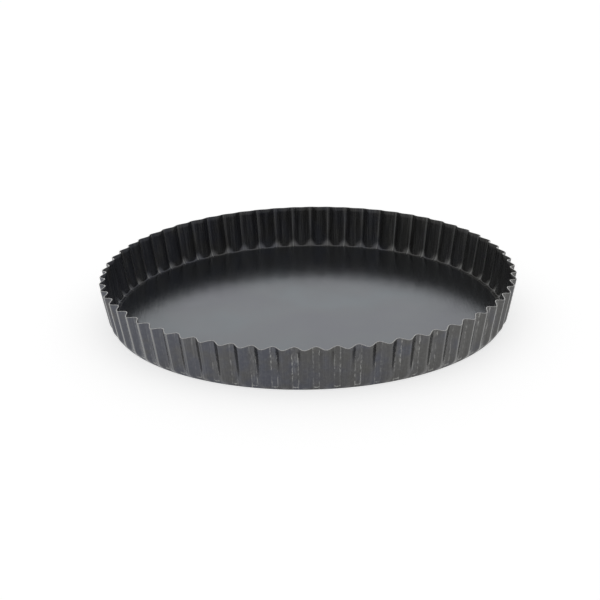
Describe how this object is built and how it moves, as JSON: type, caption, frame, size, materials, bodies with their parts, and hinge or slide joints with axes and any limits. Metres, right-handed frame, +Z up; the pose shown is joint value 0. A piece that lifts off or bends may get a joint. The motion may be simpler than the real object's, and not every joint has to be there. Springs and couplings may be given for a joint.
{
  "type": "fluted tart tin",
  "caption": "Round shallow tart tin: a fluted steel ring with a turned-in ledge, and a flat loose base that lies on the ledge and lifts out.",
  "frame": {"origin": "centre of the underside, on the surface that the tin stands on", "axes": "+Z up, along the tin's axis; -Y is the front, where a groove of the fluted wall faces out"},
  "size_m": [0.28, 0.2796, 0.0298],
  "materials": {
    "ring_coating": "satin dark grey coating on steel sheet",
    "base_coating": "satin dark grey coating on steel sheet, rubbed smoother than the ring"
  },
  "bodies": {
    "ring": {"fluted_ring": "ring_coating"},
    "base": {"loose_base": "base_coating"}
  },
  "joints": [
    {"name": "base_lift", "type": "slide", "parent": "ring", "child": "base", "axis": [0, 0, 1], "range_m": [0, 0.06]}
  ]
}
